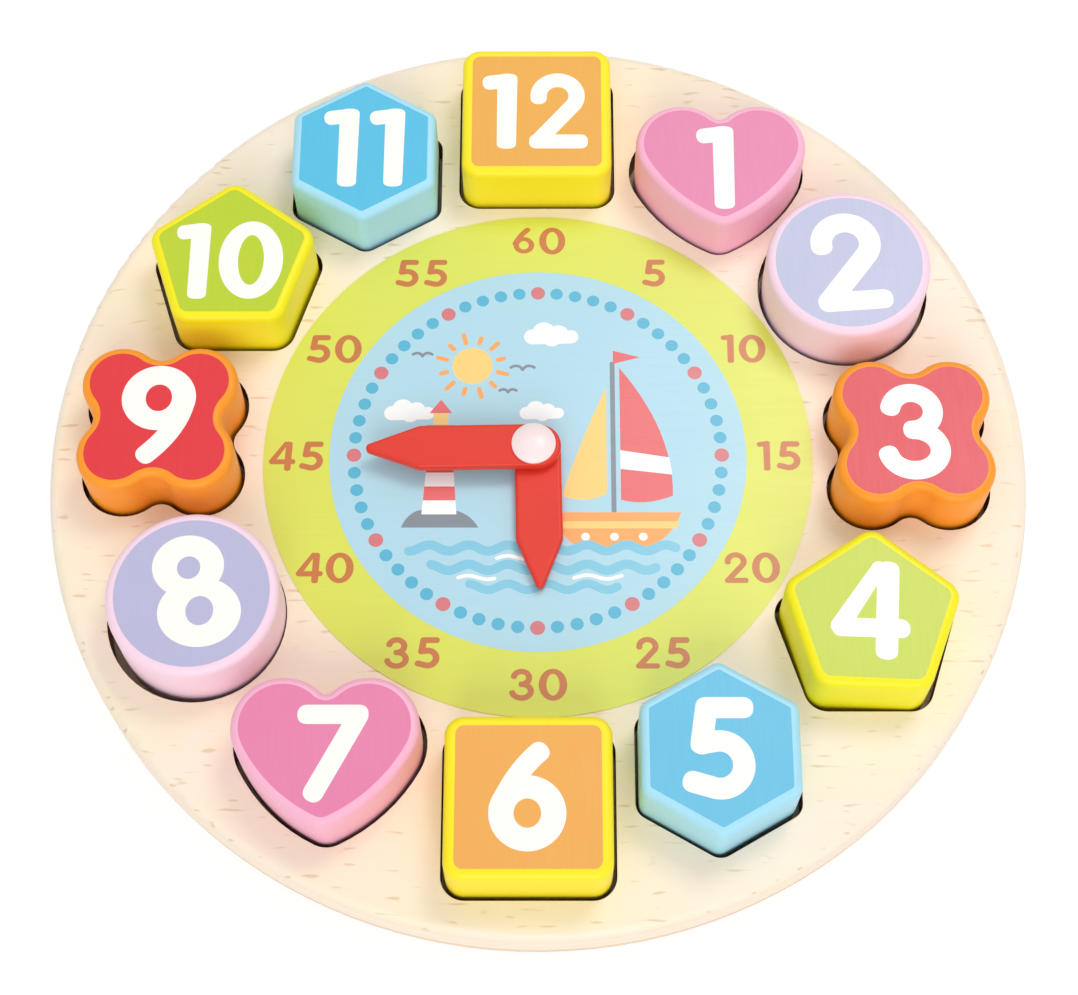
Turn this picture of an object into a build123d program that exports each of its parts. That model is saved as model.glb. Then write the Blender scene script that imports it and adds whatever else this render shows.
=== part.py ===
from build123d import *
import os
from math import acos, atan2, cos, hypot, radians, sin

os.makedirs("parts", exist_ok=True)

# A wooden clock for learning numbers, lying on its back. Lengths are in millimetres. The origin is the
# middle of the back face, +Z comes out of the dial, +Y points at 12 and +X at 3.

# Board. Its size follows from the blocks: they stand in a ring with a wall of wood between their pockets,
# the dial fills the inside of the ring and the rim goes round the outside.
pocket_wall = 1.45
dial_to_pocket_gap = 0.6
dial_print_thickness = 0.25
rim_width = 6.25
panel_thickness = 8.0
panel_edge_round = 2.4
backing_thickness = 3.0
backing_edge_round = 1.2

# Blocks and their pockets
block_stand_out = 13.65
block_edge_round = 1.7
pocket_clearance = 1.0
block_ring_turn = 1.1

square_width = 34.9
square_corner = 4.1

circle_width = 37.3

quatrefoil_width = 34.6
quatrefoil_lobe_share = 0.504
quatrefoil_waist_share = 0.576

pentagon_apothem = 16.4
pentagon_corner = 4.2

hexagon_apothem = 16.65
hexagon_corner = 2.7

# The heart's shares are of half its width, its side share of its height.
heart_width = 39.5
heart_height = 32.2
heart_lobe_share = 0.548
heart_tip_share = 0.24
heart_valley_share = 0.1
heart_side_share = 1.143
heart_rise_share = 0.0934

# Hands. Their headings are in degrees, clockwise from 12.
hand_width = 10.4
hand_thickness = 2.6
hand_edge_round = 0.8
hand_tip_round = 1.0
hand_shoulder_round = 1.8
minute_hand_point = 40.1
minute_hand_shoulder = 26.4
minute_hand_heading = 269.1
hour_hand_point = 34.5
hour_hand_shoulder = 21.4
hour_hand_heading = 178.9

# Pivot
stem_radius = 2.5
stem_hole_clearance = 0.08
stack_play = 0.06
washer_radius = 4.2
lower_washer_thickness = 0.3
upper_washer_thickness = 0.3
cap_radius = 4.9
cap_head_shift = -0.9
cap_flange_thickness = 0.5
cap_dome_rise = 1.5
screw_radius = 1.2
screw_bore_clearance = 0.05
screw_hole_clearance = 0.2
screw_head_radius = 3.4
screw_head_thickness = 1.5
screw_head_round = 0.4
screw_recess_clearance = 0.5
screw_recess_depth = 1.9
screw_thread_length = 9.0
screw_bore_extra = 1.0
cross_slot_length = 4.2
cross_slot_width = 0.9
cross_slot_depth = 0.8

# A rounded edge takes up at most this much of the wall or corner that it is on.
round_limit_share = 0.8
half_wall_share = 0.45

# The shape of the block at each hour. Hours opposite each other share a shape.
block_shapes = {
    12: "square",
    1: "heart",
    2: "circle",
    3: "quatrefoil",
    4: "pentagon",
    5: "hexagon",
    6: "square",
    7: "heart",
    8: "circle",
    9: "quatrefoil",
    10: "pentagon",
    11: "hexagon",
}
block_count = len(block_shapes)

# The ring isn't quite even. This is how far each pocket lies from its place on an even one, in x and y.
pocket_nudges = {
    12: (-1.9, -0.2),
    1: (-0.5, 0.8),
    2: (-1.9, 2.1),
    3: (-0.1, 1.6),
    4: (0.2, 1.8),
    5: (-1.8, 0.1),
    6: (-0.2, 0.0),
    7: (-1.3, 1.0),
    8: (-1.7, 1.4),
    9: (-1.0, 1.8),
    10: (1.1, 3.0),
    11: (-0.4, -0.1),
}

# Some blocks lie askew in their pockets: how far in x and y, and by how many degrees anticlockwise.
askew_blocks = {
    1: (0.3, -0.4, 0),
    4: (0, 0, -2.5),
    5: (-0.3, 0, 0),
    8: (0.7, 0.4, 0),
}

# Sizes worked out from those above
heart_lobe_radius = heart_lobe_share * heart_width / 2
heart_tip_radius = heart_tip_share * heart_width / 2
heart_valley_radius = heart_valley_share * heart_width / 2
heart_side_radius = heart_side_share * heart_height
heart_lobe_x = heart_width / 2 - heart_lobe_radius
heart_middle_y = -heart_rise_share * heart_height
heart_lobe_y = heart_middle_y + heart_height / 2 - heart_lobe_radius
heart_tip_y = heart_middle_y - heart_height / 2 + heart_tip_radius

quatrefoil_lobe_radius = quatrefoil_lobe_share * quatrefoil_width / 2
quatrefoil_lobe_place = quatrefoil_width / 2 - quatrefoil_lobe_radius
quatrefoil_waist_radius = quatrefoil_waist_share * quatrefoil_lobe_radius

widest_polygon = 2 * max(pentagon_apothem, hexagon_apothem)
widest_round_block = max(square_width, circle_width, quatrefoil_width, widest_polygon)
widest_block = max(widest_round_block, heart_width, heart_height)
block_spacing = widest_block + 2 * pocket_clearance + pocket_wall
block_ring_radius = block_spacing / 2 / sin(radians(180 / block_count))
pocket_reach = widest_round_block / 2 + pocket_clearance

# The middle of each pocket, clockwise from 12
pocket_places = {}
for hour, (nudge_x, nudge_y) in pocket_nudges.items():
    heading = radians(360 / block_count * hour + block_ring_turn)
    place_x = block_ring_radius * sin(heading) + nudge_x
    place_y = block_ring_radius * cos(heading) + nudge_y
    pocket_places[hour] = (place_x, place_y)

place_distances = [hypot(x, y) for x, y in pocket_places.values()]
dial_radius = min(place_distances) - pocket_reach - dial_to_pocket_gap
board_radius = max(place_distances) + pocket_reach + rim_width

panel_top = backing_thickness + panel_thickness
block_height = panel_thickness + block_stand_out
dial_top = panel_top + dial_print_thickness
hour_hand_bottom = dial_top + lower_washer_thickness + stack_play
upper_washer_bottom = hour_hand_bottom + hand_thickness + stack_play
minute_hand_bottom = upper_washer_bottom + upper_washer_thickness + stack_play
cap_bottom = minute_hand_bottom + hand_thickness + stack_play
stem_hole_radius = stem_radius + stem_hole_clearance
screw_bore_radius = screw_radius + screw_bore_clearance


def rounding(wanted, corner, wall):
    # A rounded edge that its corner and its wall still leave room for
    return min(wanted, round_limit_share * corner, half_wall_share * wall)


# Outlines of the blocks. Each grows by the same amount all round, which makes a block's pocket.


def square_outline(grow):
    side = square_width + 2 * grow
    with BuildSketch() as outline:
        RectangleRounded(side, side, square_corner + grow)
    return outline.sketch


def circle_outline(grow):
    with BuildSketch() as outline:
        Circle(circle_width / 2 + grow)
    return outline.sketch


def polygon_outline(sides, apothem, corner, grow):
    # One corner points at 12, and the outline's top and bottom lie equally far from its middle.
    circumradius = apothem / cos(radians(180 / sides))
    lowest = apothem if sides % 2 else circumradius
    with BuildSketch() as outline:
        with Locations((0, (lowest - circumradius) / 2)):
            RegularPolygon(apothem + grow, sides, major_radius=False, rotation=90)
        fillet(outline.vertices(), radius=corner + grow)
    return outline.sketch


def pentagon_outline(grow):
    return polygon_outline(5, pentagon_apothem, pentagon_corner, grow)


def hexagon_outline(grow):
    return polygon_outline(6, hexagon_apothem, hexagon_corner, grow)


def quatrefoil_outline(grow):
    # Four round lobes on a square, with a soft waist between neighbours
    spacing = 2 * quatrefoil_lobe_place
    with BuildSketch() as outline:
        Rectangle(spacing, spacing)
        with GridLocations(spacing, spacing, 2, 2):
            Circle(quatrefoil_lobe_radius + grow)
        fillet(outline.vertices(), radius=quatrefoil_waist_radius - grow)
    return outline.sketch


def heart_outline(grow):
    # Two lobes and a rounded tip, joined by sides that bulge a little
    lobe = Vector(heart_lobe_x, heart_lobe_y)
    tip = Vector(0, heart_tip_y)
    lobe_reach = heart_side_radius - heart_lobe_radius
    tip_reach = heart_side_radius - heart_tip_radius
    span = (lobe - tip).length
    turn = acos((span**2 + tip_reach**2 - lobe_reach**2) / (2 * span * tip_reach))
    heading = atan2(lobe.Y - tip.Y, lobe.X - tip.X) + turn
    side_centre = tip + Vector(cos(heading), sin(heading)) * tip_reach
    side_radius = heart_side_radius + grow
    lobe_touch = side_centre + (lobe - side_centre).normalized() * side_radius
    tip_touch = side_centre + (tip - side_centre).normalized() * side_radius
    side_middle = side_centre + ((lobe_touch + tip_touch) * 0.5 - side_centre).normalized() * side_radius
    lobe_radius = heart_lobe_radius + grow
    valley = Vector(0, heart_lobe_y + (lobe_radius**2 - heart_lobe_x**2) ** 0.5)
    lobe_top = lobe + Vector(0, lobe_radius)
    tip_bottom = tip - Vector(0, heart_tip_radius + grow)
    tip_middle = tip + ((tip_touch + tip_bottom) * 0.5 - tip).normalized() * (heart_tip_radius + grow)
    with BuildSketch() as outline:
        with BuildLine():
            ThreePointArc(valley, lobe_top, lobe_touch)
            ThreePointArc(lobe_touch, side_middle, tip_touch)
            ThreePointArc(tip_touch, tip_middle, tip_bottom)
            Line(tip_bottom, valley)
        make_face()
        mirror(about=Plane.YZ)
        valley_vertex = outline.vertices().sort_by_distance((valley.X, valley.Y))[0]
        fillet(valley_vertex, radius=heart_valley_radius - grow)
    return outline.sketch


outlines = {
    "square": square_outline,
    "heart": heart_outline,
    "circle": circle_outline,
    "quatrefoil": quatrefoil_outline,
    "pentagon": pentagon_outline,
    "hexagon": hexagon_outline,
}

# The sharpest outward corner of each shape, which limits the rounding of the block's edges
sharpest_corners = {
    "square": square_corner,
    "heart": heart_tip_radius,
    "circle": circle_width / 2,
    "quatrefoil": quatrefoil_lobe_radius,
    "pentagon": pentagon_corner,
    "hexagon": hexagon_corner,
}

block_outlines = {shape: outline(0) for shape, outline in outlines.items()}
pocket_outlines = {shape: outline(pocket_clearance) for shape, outline in outlines.items()}

# Face board: a disc with a pocket right through it for each block and a hole for the stem
with BuildPart() as face_board:
    with BuildSketch(Plane.XY.offset(backing_thickness)):
        Circle(board_radius)
    extrude(amount=panel_thickness)
    fillet(
        face_board.edges().group_by(Axis.Z)[-1],
        radius=rounding(panel_edge_round, board_radius, panel_thickness),
    )
    with BuildSketch(Plane.XY.offset(backing_thickness)):
        Circle(stem_hole_radius)
        for hour, shape in block_shapes.items():
            with Locations(pocket_places[hour]):
                add(pocket_outlines[shape])
    extrude(amount=panel_thickness, mode=Mode.SUBTRACT)
face_board.part.label = "face_board"
export_step(face_board.part, "parts/face_board.step")

# Backing plate: closes the pockets from behind and holds the screw's head in a recess
with BuildPart() as backing_plate:
    with BuildSketch():
        Circle(board_radius)
    extrude(amount=backing_thickness)
    fillet(
        backing_plate.edges().group_by(Axis.Z)[0],
        radius=rounding(backing_edge_round, board_radius, backing_thickness),
    )
    with BuildSketch():
        Circle(screw_head_radius + screw_recess_clearance)
    extrude(amount=screw_recess_depth, mode=Mode.SUBTRACT)
    with BuildSketch():
        Circle(screw_radius + screw_hole_clearance)
    extrude(amount=backing_thickness, mode=Mode.SUBTRACT)
backing_plate.part.label = "backing_plate"
export_step(backing_plate.part, "parts/backing_plate.step")

# Dial print: the thin printed layer on the face board, inside the ring of blocks
with BuildPart() as dial_print:
    with BuildSketch(Plane.XY.offset(panel_top)):
        Circle(dial_radius)
        Circle(stem_hole_radius, mode=Mode.SUBTRACT)
    extrude(amount=dial_print_thickness)
dial_print.part.label = "dial_print"
export_step(dial_print.part, "parts/dial_print.step")

# Number blocks: each stands on the backing plate and lifts straight out of its pocket.
for hour, shape in block_shapes.items():
    place_x, place_y = pocket_places[hour]
    shift_x, shift_y, turn = askew_blocks.get(hour, (0, 0, 0))
    with BuildPart() as block:
        with BuildSketch(Plane.XY.offset(backing_thickness)):
            with Locations(Location((place_x + shift_x, place_y + shift_y), turn)):
                add(block_outlines[shape])
        extrude(amount=block_height)
        fillet(
            block.edges().group_by(Axis.Z)[-1] + block.edges().group_by(Axis.Z)[0],
            radius=rounding(block_edge_round, sharpest_corners[shape], block_height),
        )
    block.part.label = f"block_{hour:02d}_{shape}"
    export_step(block.part, f"parts/{block.part.label}.step")


def hand_outline(point, shoulder):
    # A pencil shape along +Y, round at the hub, with a hole for the stem
    half = hand_width / 2
    with BuildSketch() as outline:
        Polygon((-half, 0), (half, 0), (half, shoulder), (0, point), (-half, shoulder), align=None)
        fillet(outline.vertices().group_by(Axis.Y)[1], radius=hand_shoulder_round)
        fillet(outline.vertices().group_by(Axis.Y)[-1], radius=hand_tip_round)
        Circle(half)
        Circle(stem_hole_radius, mode=Mode.SUBTRACT)
    return outline.sketch


def rim_edges(part):
    # The edges of a hand's top and bottom faces, without those of its hole
    faces = part.faces().sort_by(Axis.Z)
    return faces[0].outer_wire().edges() + faces[-1].outer_wire().edges()


hand_rounding = rounding(hand_edge_round, hand_tip_round, hand_thickness)
hour_outline = hand_outline(hour_hand_point, hour_hand_shoulder)
minute_outline = hand_outline(minute_hand_point, minute_hand_shoulder)

# Hour hand: lies underneath
with BuildPart() as hour_hand:
    with BuildSketch(Plane.XY.offset(hour_hand_bottom)):
        add(hour_outline, rotation=-hour_hand_heading)
    extrude(amount=hand_thickness)
    fillet(rim_edges(hour_hand), radius=hand_rounding)
hour_hand.part.label = "hour_hand"
export_step(hour_hand.part, "parts/hour_hand.step")

# Minute hand: lies on top
with BuildPart() as minute_hand:
    with BuildSketch(Plane.XY.offset(minute_hand_bottom)):
        add(minute_outline, rotation=-minute_hand_heading)
    extrude(amount=hand_thickness)
    fillet(rim_edges(minute_hand), radius=hand_rounding)
minute_hand.part.label = "minute_hand"
export_step(minute_hand.part, "parts/minute_hand.step")


def washer(bottom, thickness, label):
    with BuildPart() as ring:
        with BuildSketch(Plane.XY.offset(bottom)):
            Circle(washer_radius)
            Circle(stem_hole_radius, mode=Mode.SUBTRACT)
        extrude(amount=thickness)
    ring.part.label = label
    export_step(ring.part, f"parts/{label}.step")


# Washers: one between the dial and the hour hand, one between the hands
washer(dial_top, lower_washer_thickness, "lower_washer")
washer(upper_washer_bottom, upper_washer_thickness, "upper_washer")

# Pivot cap: a stem that the hands turn round, bored from below for the screw, and a domed head that
# sits a little off the stem's middle
cap_rim = cap_bottom + cap_flange_thickness
cap_top = cap_rim + cap_dome_rise
dome_radius = (cap_radius**2 + cap_dome_rise**2) / (2 * cap_dome_rise)
with BuildPart() as cap_head:
    with BuildSketch(Plane.XZ):
        with BuildLine():
            Polyline((0, cap_top), (0, cap_bottom), (cap_radius, cap_bottom), (cap_radius, cap_rim))
            RadiusArc((cap_radius, cap_rim), (0, cap_top), -dome_radius)
        make_face()
    revolve(axis=Axis.Z)
with BuildPart() as pivot_cap:
    with BuildSketch(Plane.XY.offset(backing_thickness)):
        Circle(stem_radius)
    extrude(amount=cap_bottom - backing_thickness)
    with Locations((cap_head_shift, 0, 0)):
        add(cap_head.part)
    with BuildSketch(Plane.XY.offset(backing_thickness)):
        Circle(screw_bore_radius)
    extrude(amount=screw_thread_length + screw_bore_extra, mode=Mode.SUBTRACT)
pivot_cap.part.label = "pivot_cap"
export_step(pivot_cap.part, "parts/pivot_cap.step")

# Pivot screw: comes up from the back into the stem, its head clear of the surface the clock lies on
head_bottom = screw_recess_depth - screw_head_thickness
with BuildPart() as pivot_screw:
    with BuildSketch(Plane.XY.offset(head_bottom)):
        Circle(screw_head_radius)
    extrude(amount=screw_head_thickness)
    fillet(
        pivot_screw.edges().group_by(Axis.Z)[0],
        radius=rounding(screw_head_round, screw_head_radius, screw_head_thickness),
    )
    with BuildSketch(Plane.XY.offset(screw_recess_depth)):
        Circle(screw_radius)
    extrude(amount=screw_thread_length)
    with BuildSketch(Plane.XY.offset(head_bottom)):
        Rectangle(cross_slot_length, cross_slot_width)
        Rectangle(cross_slot_width, cross_slot_length)
    extrude(amount=cross_slot_depth, mode=Mode.SUBTRACT)
pivot_screw.part.label = "pivot_screw"
export_step(pivot_screw.part, "parts/pivot_screw.step")
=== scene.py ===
"""Finishes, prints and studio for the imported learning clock.

The solid parts keep their shapes. This file gives them paint, wood, plastic and steel, and adds the printed
layers that lie on them: the numerals on the blocks, the minute numbers, the ring of dots and the dial picture.
"""

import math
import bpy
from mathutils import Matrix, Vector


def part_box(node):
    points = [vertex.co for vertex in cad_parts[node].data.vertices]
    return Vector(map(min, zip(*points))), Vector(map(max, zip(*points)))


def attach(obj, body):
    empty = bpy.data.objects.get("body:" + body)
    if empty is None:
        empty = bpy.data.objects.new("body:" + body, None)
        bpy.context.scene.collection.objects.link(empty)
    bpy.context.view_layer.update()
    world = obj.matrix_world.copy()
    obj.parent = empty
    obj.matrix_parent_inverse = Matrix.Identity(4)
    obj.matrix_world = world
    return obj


bl_info = {
    "name": "Learning Clock Finishes",
    "version": (1, 0, 0),
    "blender": (4, 5, 0),
    "location": "3D View > Sidebar > Clock",
    "description": "Paint, print, wood and studio for a wooden learning clock",
    "category": "Object",
}

import bmesh
import bpy
from bpy.props import FloatProperty, FloatVectorProperty, PointerProperty
from mathutils import Matrix, Vector
from mathutils.geometry import delaunay_2d_cdt

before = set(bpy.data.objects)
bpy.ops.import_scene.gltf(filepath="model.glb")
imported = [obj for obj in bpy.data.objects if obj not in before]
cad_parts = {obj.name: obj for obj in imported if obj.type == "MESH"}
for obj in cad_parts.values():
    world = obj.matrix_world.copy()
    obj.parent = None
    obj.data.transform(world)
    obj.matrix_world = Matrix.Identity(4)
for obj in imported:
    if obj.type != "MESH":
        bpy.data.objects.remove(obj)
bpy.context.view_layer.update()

MM = 0.001
BOARD_BODY = "board"
PHOTO_WIDTH = 1078
SENSOR_WIDTH = 36.0

# What is read from the solid parts, in metres
BOARD_RADIUS, BOARD_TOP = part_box("face_board")[1].x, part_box("face_board")[1].z
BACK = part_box("backing_plate")[0].z
DIAL_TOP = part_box("dial_print")[1].z
WASHER_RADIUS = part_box("lower_washer")[1].x
BLOCK_NODES = {int(name[6:8]): name for name in sorted(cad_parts) if name.startswith("block_")}
HOURS = sorted(BLOCK_NODES)


def srgb(red, green, blue):
    """A colour given as a display shows it, 0 to 255, turned into the linear colour that shaders use."""

    def linear(value):
        shown = value / 255
        return shown / 12.92 if shown <= 0.04045 else ((shown + 0.055) / 1.055) ** 2.4

    return (linear(red), linear(green), linear(blue))


# Settings: sizes, colours, camera and lights


def length(name, description, millimetres):
    return FloatProperty(
        name=name, description=description, default=millimetres * MM, min=0, unit="LENGTH", subtype="DISTANCE"
    )


def angle(name, description, degrees):
    return FloatProperty(
        name=name, description=description, default=math.radians(degrees), unit="ROTATION", subtype="ANGLE"
    )


def share(name, description, value, most=1.0):
    return FloatProperty(name=name, description=description, default=value, min=0, max=most, subtype="FACTOR")


def colour(name, description, red, green, blue):
    return FloatVectorProperty(
        name=name, description=description, default=srgb(red, green, blue), size=3, min=0, max=1, subtype="COLOR"
    )


class ClockPrintSizes(bpy.types.PropertyGroup):
    """Sizes of the printed layers"""

    ink: length("Ink", "How far a printed layer stands up from what it is printed on", 0.03)
    ink_root: length("Ink root", "How far a printed layer reaches into what it is printed on", 0.05)
    square_border: length("Square border", "Bare paint round the panel on a square block's flat top", 0.6)
    heart_border: length("Heart border", "Bare paint round the panel on a heart block's flat top", 0.08)
    circle_border: length("Circle border", "Bare paint round the panel on a round block's flat top", 0.27)
    quatrefoil_border: length("Quatrefoil border", "Bare paint round the panel on a quatrefoil block's flat top", 0.17)
    pentagon_border: length("Pentagon border", "Bare paint round the panel on a pentagon block's flat top", 0.3)
    hexagon_border: length("Hexagon border", "Bare paint round the panel on a hexagon block's flat top", 0.2)
    sky_radius: length("Sky radius", "Radius of the pale blue disc on the dial", 46.95)
    dot_ring_radius: length("Dot ring radius", "Radius of the ring of sixty dots", 41.4)
    hour_dot: length("Hour dot", "Radius of the dots at the hours", 1.65)
    minute_dot: length("Minute dot", "Radius of the dots between the hours", 1.45)
    minute_number_radius: length("Minute number radius", "Radius of the ring of minute numbers", 54.2)
    minute_number_drop: length("Minute number drop", "How far the ring of minute numbers is printed towards 6", 0.2)
    minute_number_height: length("Minute number height", "Height of a minute number", 7.4)
    minute_number_weight: share("Minute number weight", "Thickness of the minute numbers' strokes", 0.86, 2.0)
    minute_number_width: share("Minute number width", "Width of the minute numbers", 1.1, 2.0)


class ClockColours(bpy.types.PropertyGroup):
    """Colours of the paints, inks, woods and plastics"""

    square: colour("Square paint", "Paint of the square blocks", 255, 234, 34)
    heart: colour("Heart paint", "Paint of the heart blocks", 249, 184, 209)
    circle: colour("Circle paint", "Paint of the round blocks", 249, 217, 233)
    quatrefoil: colour("Quatrefoil paint", "Paint of the quatrefoil blocks", 251, 155, 38)
    pentagon: colour("Pentagon paint", "Paint of the pentagon blocks", 246, 236, 24)
    hexagon: colour("Hexagon paint", "Paint of the hexagon blocks", 170, 225, 244)
    # Each panel's colour is its print's ink with painted shade in it: the light falls brighter on the right, so panels
    # 8 to 11 are painted darker than their twins 2 to 5.
    panel_1: colour("Panel 1", "Printed panel on block 1", 229, 137, 176)
    panel_2: colour("Panel 2", "Printed panel on block 2", 190, 193, 219)
    panel_3: colour("Panel 3", "Printed panel on block 3", 219, 76, 84)
    panel_4: colour("Panel 4", "Printed panel on block 4", 200, 214, 80)
    panel_5: colour("Panel 5", "Printed panel on block 5", 105, 192, 226)
    panel_6: colour("Panel 6", "Printed panel on block 6", 239, 172, 82)
    panel_7: colour("Panel 7", "Printed panel on block 7", 232, 132, 173)
    panel_8: colour("Panel 8", "Printed panel on block 8", 187, 185, 217)
    panel_9: colour("Panel 9", "Printed panel on block 9", 225, 50, 58)
    panel_10: colour("Panel 10", "Printed panel on block 10", 188, 209, 42)
    panel_11: colour("Panel 11", "Printed panel on block 11", 87, 191, 226)
    panel_12: colour("Panel 12", "Printed panel on block 12", 236, 173, 76)
    numeral: colour("Numerals", "Ink of the numerals on the blocks", 252, 250, 244)
    lime: colour("Lime ring", "Ink of the dial's outer ring", 216, 223, 71)
    sky: colour("Sky", "Ink of the dial's inner disc", 172, 214, 230)
    minute_number: colour("Minute numbers", "Ink of the minute numbers", 196, 108, 22)
    hour_dot: colour("Hour dots", "Ink of the dots at the hours", 209, 109, 115)
    minute_dot: colour("Minute dots", "Ink of the dots between the hours", 66, 175, 208)
    coral: colour("Coral", "Ink of the mainsail and the stripes", 227, 94, 95)
    orange: colour("Orange", "Ink of the hull and the sun's rays", 246, 164, 76)
    honey: colour("Honey", "Ink of the jib and the sun", 250, 208, 114)
    cloud: colour("Cloud", "Ink of the clouds and the foam", 250, 252, 252)
    slate: colour("Slate", "Ink of the mast, the gulls and the rock", 122, 131, 142)
    wave: colour("Wave", "Ink of the waves", 122, 196, 222)
    hand: colour("Hands", "Paint of both hands", 225, 59, 43)
    cap: colour("Cap", "Plastic of the pivot cap", 250, 231, 232)
    washer: colour("Washers", "Plastic of the washers", 236, 236, 232)
    steel: colour("Screw", "Plating of the pivot screw", 190, 190, 194)
    beech: colour("Board wood", "Pale wood of the face board", 252, 237, 218)
    fleck: colour("Wood flecks", "Short dark flecks in the wood", 222, 190, 152)
    # The walls of the pockets are painted this dark brown from top to bottom.
    scorch: colour("Pocket walls", "Wood browned where the pockets were cut", 84, 44, 22)
    backing: colour("Backing wood", "Wood of the backing plate", 240, 214, 180)


class ClockStudio(bpy.types.PropertyGroup):
    """Camera and lights"""

    elevation: angle("Elevation", "Camera height above the board's plane", 66.4)
    azimuth: angle("Azimuth", "Camera turn round the clock", 0.49)
    roll: angle("Roll", "Camera turn about its own line of sight", -0.48)
    distance: length("Distance", "From the camera to the point it looks at", 495.7)
    aim_x: FloatProperty(name="Aim X", description="Point looked at, towards 3", default=0.28 * MM, unit="LENGTH")
    aim_y: FloatProperty(name="Aim Y", description="Point looked at, towards 12", default=-10.3 * MM, unit="LENGTH")
    focal_pixels: FloatProperty(
        name="Focal length in pixels", description="Focal length for a frame 1078 pixels wide", default=2218.8, min=1
    )
    overhead: share("Overhead light", "Light that the overhead softbox puts on the board", 0.05, 4.0)
    right: share("Right light", "Light that the softbox behind the right side puts on the board", 0.21, 4.0)
    front: share("Front light", "Light that the front softbox puts on the board", 0.24, 4.0)
    ambient: share("Room light", "Even light from all round", 0.57, 4.0)
    floor_glow: share("Floor glow", "How much of the floor shows as plain white", 0.88)


# Materials


class Socket:
    """A node's output that Python arithmetic works on. Each operation adds one Math node."""

    def __init__(self, shader, output):
        self.shader = shader
        self.output = output

    def math(self, operation, *values):
        return self.shader.node("ShaderNodeMath", {"operation": operation}, dict(enumerate(values)))

    def __add__(self, other):
        return self.math("ADD", self, other)

    def __radd__(self, other):
        return self.math("ADD", other, self)

    def __sub__(self, other):
        return self.math("SUBTRACT", self, other)

    def __rsub__(self, other):
        return self.math("SUBTRACT", other, self)

    def __mul__(self, other):
        return self.math("MULTIPLY", self, other)

    def __rmul__(self, other):
        return self.math("MULTIPLY", other, self)

    def __truediv__(self, other):
        return self.math("DIVIDE", self, other)

    def __abs__(self):
        return self.math("ABSOLUTE", self)


class Nodes:
    """A node tree that is built with Python expressions."""

    def __init__(self, tree):
        self.tree = tree

    def node(self, kind, settings=None, inputs=None, output=0):
        """Adds a node of this kind, sets it up, feeds its inputs and gives back one of its outputs."""
        made = self.tree.nodes.new(kind)
        for name, value in (settings or {}).items():
            setattr(made, name, value)
        for name, value in (inputs or {}).items():
            self.feed(self.find(made.inputs, name), value)
        return Socket(self, self.find(made.outputs, output))

    @staticmethod
    def find(sockets, name):
        if isinstance(name, int):
            return sockets[name]
        return next(socket for socket in sockets if name in (socket.identifier, socket.name))

    def feed(self, socket, value):
        if isinstance(value, Socket):
            self.tree.links.new(value.output, socket)
        else:
            socket.default_value = value

    def place(self):
        """Where a point of the surface is, in metres, in the clock's own frame"""
        return self.node("ShaderNodeTexCoord", output="Object")

    def stretch(self, place, scale, shift=(0, 0, 0)):
        return self.node(
            "ShaderNodeMapping", {"vector_type": "POINT"}, {"Vector": place, "Scale": scale, "Location": shift}
        )

    def noise(self, place, detail=2.0, roughness=0.5, scale=1.0):
        return self.node(
            "ShaderNodeTexNoise",
            {"noise_dimensions": "3D"},
            {"Vector": place, "Scale": scale, "Detail": detail, "Roughness": roughness},
        )

    def radius(self, place):
        """Distance from the clock's axis"""
        flat = self.node("ShaderNodeVectorMath", {"operation": "MULTIPLY"}, {0: place, 1: (1, 1, 0)})
        return self.node("ShaderNodeVectorMath", {"operation": "LENGTH"}, {0: flat}, output="Value")

    def axis(self, vector, name):
        return self.node("ShaderNodeSeparateXYZ", inputs={"Vector": vector}, output=name)

    def normal_up(self):
        return self.axis(self.node("ShaderNodeNewGeometry", output="Normal"), "Z")

    def band(self, value, low, high):
        """0 at low, 1 at high and smooth between"""
        return self.node(
            "ShaderNodeMapRange",
            {"interpolation_type": "SMOOTHSTEP"},
            {"Value": value, "From Min": low, "From Max": high, "To Min": 0.0, "To Max": 1.0},
        )

    def mix(self, factor, first, second):
        return self.node(
            "ShaderNodeMix",
            {"data_type": "RGBA"},
            {"Factor_Float": factor, "A_Color": self.solid(first), "B_Color": self.solid(second)},
            output="Result_Color",
        )

    @staticmethod
    def solid(value):
        return value if isinstance(value, Socket) else (*value[:3], 1.0)

    def white_rays(self):
        """1 for the rays that see the plain white round the clock, and 0 for those that carry its light"""
        seen, mirrored, through = (
            self.node("ShaderNodeLightPath", output=f"Is {kind} Ray") for kind in ("Camera", "Glossy", "Transmission")
        )
        return seen.math("MAXIMUM", seen, seen.math("MAXIMUM", mirrored, through))

    def bump(self, height, strength, distance):
        return self.node("ShaderNodeBump", inputs={"Height": height, "Strength": strength, "Distance": distance})


class Shader(Nodes):
    """One material's node tree, built round its Principled shader."""

    def __init__(self, name, **constants):
        self.material = bpy.data.materials.new(name)
        self.material.use_nodes = True
        super().__init__(self.material.node_tree)
        self.surface = self.tree.nodes["Principled BSDF"]
        self.set(**constants)

    def set(self, **inputs):
        for name, value in inputs.items():
            self.feed(self.surface.inputs[name.replace("_", " ")], value)


def tint(value, factor):
    """A lighter or darker colour of the same hue"""
    return tuple(min(1.0, part * factor) for part in value[:3])


def shade(value, red, green, blue):
    """A colour with its red, green and blue each turned up or down"""
    return value[0] * red, value[1] * green, value[2] * blue


def deepen(value, power):
    """A colour made deeper and stronger, as thick paint is next to thin paint"""
    return tuple(part**power for part in value[:3])


# How the grain runs: cycles for each metre along x, y and z
GRAIN_X = (90.0, 1900.0, 1900.0)
GRAIN_Y = (1900.0, 90.0, 1900.0)
PORES_TO_GRAIN = 1.9
GRAIN_SHARE = 0.3
PORE_SHARE = 0.165
CLOUDING_SHARE = 0.35


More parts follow.
